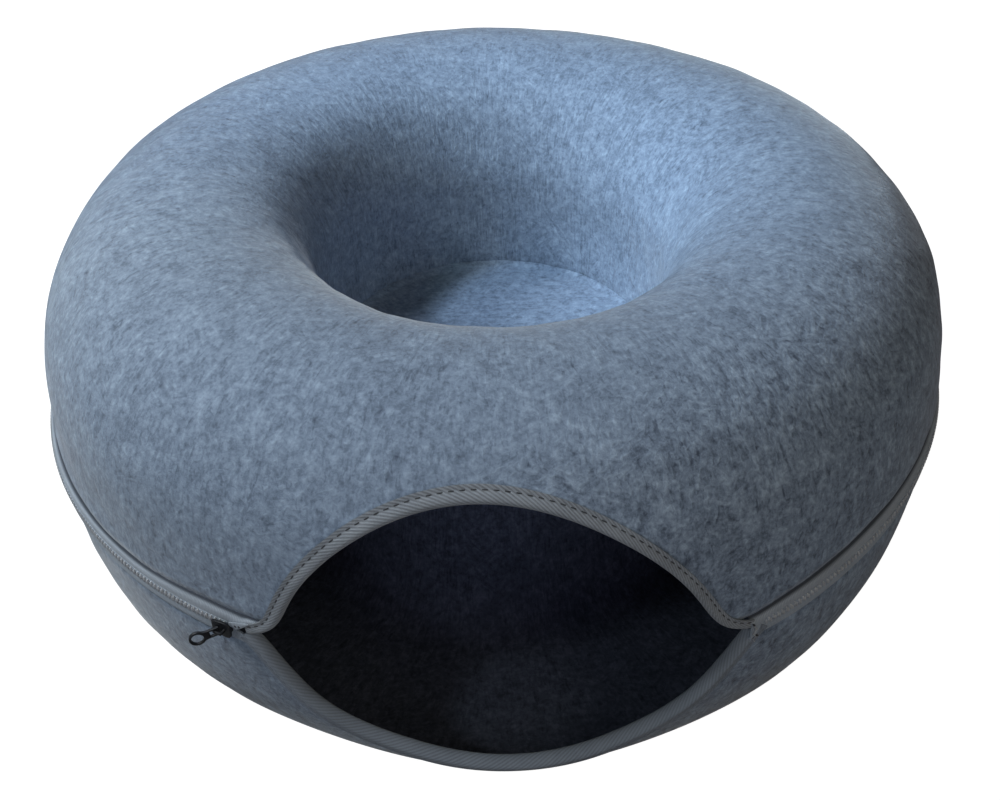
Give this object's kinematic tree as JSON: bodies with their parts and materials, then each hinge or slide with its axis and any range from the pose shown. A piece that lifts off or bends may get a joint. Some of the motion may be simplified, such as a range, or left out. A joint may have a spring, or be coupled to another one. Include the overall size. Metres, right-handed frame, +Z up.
{
  "type": "round tunnel bed",
  "caption": "Ring-shaped felt tunnel bed for a cat: an arched opening leads into a tunnel round a sunken well, and a zip round the outside joins the upper and lower halves.",
  "frame": {"origin": "middle of the extent of the base, on the surface the bed stands on", "axes": "+Z up, -Y out of the opening, +X to the right seen from the opening"},
  "size_m": [0.5044, 0.4884, 0.2255],
  "materials": {
    "felt": "mottled blue-grey moulded felt with short fibres",
    "binding": "grey twill tape",
    "zip_tape": "woven grey tape",
    "coil": "dyed nylon",
    "black_metal": "black enamel"
  },
  "bodies": {
    "root": {"felt_upper": "felt", "felt_lower": "felt", "well_floor": "felt", "binding_upper": "binding", "binding_lower": "binding", "zip_tape_upper": "zip_tape", "zip_tape_lower": "zip_tape", "zip_coil": "coil", "zip_slider": "black_metal", "zip_pull": "black_metal"}
  },
  "joints": []
}
